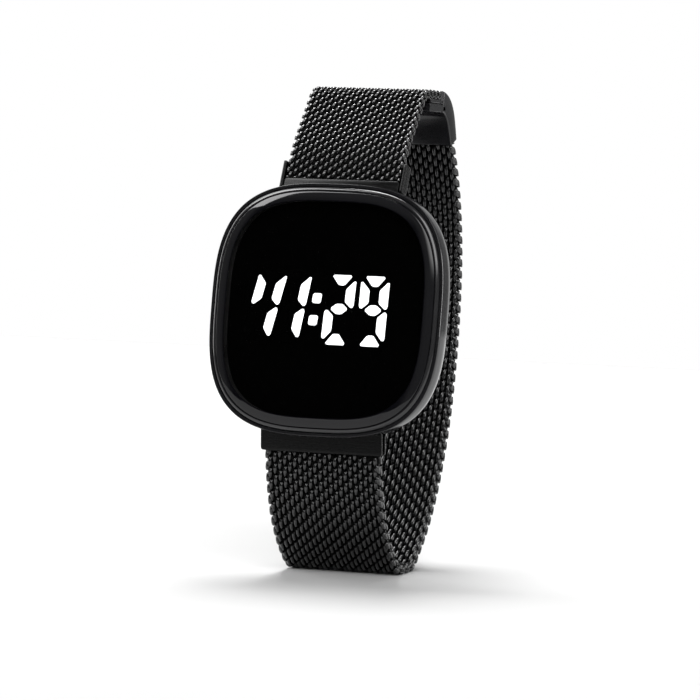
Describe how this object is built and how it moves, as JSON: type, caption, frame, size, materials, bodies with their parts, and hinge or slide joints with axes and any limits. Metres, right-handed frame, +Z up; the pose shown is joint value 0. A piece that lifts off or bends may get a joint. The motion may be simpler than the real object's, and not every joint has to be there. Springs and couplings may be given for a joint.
{
  "type": "led watch",
  "caption": "Square touch LED wristwatch: glass display in a rounded case on spring bars, with a woven steel strap closed by a magnetic lap clasp.",
  "frame": {"origin": "under the middle of the standing watch, at the strap's lowest face", "axes": "+Z up, the display faces -Y and leans back, +X is the side at three o'clock"},
  "size_m": [0.0388, 0.034, 0.0743],
  "materials": {
    "case_black": "glossy black coated steel",
    "bezel_gloss": "polished black coated steel",
    "lens_glass": "clear hard glass",
    "gasket_rubber": "matt rubber",
    "mask_print": "black printed film",
    "frame_plastic": "moulded plastic",
    "segment_lit": "lit white diffuser",
    "segment_dark": "unlit smoked diffuser",
    "touch_rubber": "conductive rubber",
    "board_laminate": "solder-resist green",
    "chip_epoxy": "moulded epoxy",
    "can_metal": "plain metal",
    "contact_brass": "plated spring brass",
    "cell_steel": "nickel-plated steel",
    "back_steel": "circular brushed steel",
    "bar_steel": "bright steel",
    "clamp_black": "satin black coated steel",
    "mesh_black": "woven wire, black coated",
    "clasp_black": "polished black coated steel",
    "magnet_nickel": "nickel-plated magnet"
  },
  "bodies": {
    "case": {"case_body": "case_black", "bezel_ring": "bezel_gloss", "lens": "lens_glass", "lens_gasket": "gasket_rubber", "display_mask": "mask_print", "light_frame": "frame_plastic", "lit_segments": "segment_lit", "unlit_segments": "segment_dark", "touch_pad": "touch_rubber", "led_board": "board_laminate", "driver_chip": "chip_epoxy", "quartz_can": "can_metal", "holder_frame": "frame_plastic", "contact_spring": "contact_brass", "coin_cell": "cell_steel", "cell_clip": "can_metal", "case_back": "back_steel", "back_gasket": "gasket_rubber", "back_screws": "back_steel", "upper_bar_tube": "bar_steel", "upper_bar_spring": "bar_steel", "lower_bar_tube": "bar_steel", "lower_bar_spring": "bar_steel"},
    "upper_strap": {"upper_clamp": "clamp_black", "upper_mesh": "mesh_black", "keeper_plate": "clasp_black"},
    "lower_strap": {"lower_clamp": "clamp_black", "lower_mesh": "mesh_black", "clasp_tongue": "clasp_black", "clasp_lip": "clasp_black", "clasp_magnets": "magnet_nickel"},
    "upper_left_tip": {"upper_tip_left": "bar_steel"},
    "upper_right_tip": {"upper_tip_right": "bar_steel"},
    "lower_left_tip": {"lower_tip_left": "bar_steel"},
    "lower_right_tip": {"lower_tip_right": "bar_steel"}
  },
  "joints": [
    {"name": "upper_strap_swing", "type": "hinge", "parent": "case", "child": "upper_strap", "pos_m": [0, -0.00759, 0.05745], "axis": [1, 0, 0], "range_deg": [0, 22]},
    {"name": "lower_strap_swing", "type": "hinge", "parent": "case", "child": "lower_strap", "pos_m": [0, -0.0135, 0.02397], "axis": [-1, 0, 0], "range_deg": [0, 18]},
    {"name": "upper_left_tip_slide", "type": "slide", "parent": "case", "child": "upper_left_tip", "axis": [1, 0, 0], "range_m": [0, 0.0008], "stiffness_N_per_m": 200, "springref_m": -0.0005},
    {"name": "upper_right_tip_slide", "type": "slide", "parent": "case", "child": "upper_right_tip", "axis": [-1, 0, 0], "range_m": [0, 0.0008], "stiffness_N_per_m": 200, "springref_m": -0.0005},
    {"name": "lower_left_tip_slide", "type": "slide", "parent": "case", "child": "lower_left_tip", "axis": [1, 0, 0], "range_m": [0, 0.0008], "stiffness_N_per_m": 200, "springref_m": -0.0005},
    {"name": "lower_right_tip_slide", "type": "slide", "parent": "case", "child": "lower_right_tip", "axis": [-1, 0, 0], "range_m": [0, 0.0008], "stiffness_N_per_m": 200, "springref_m": -0.0005}
  ]
}
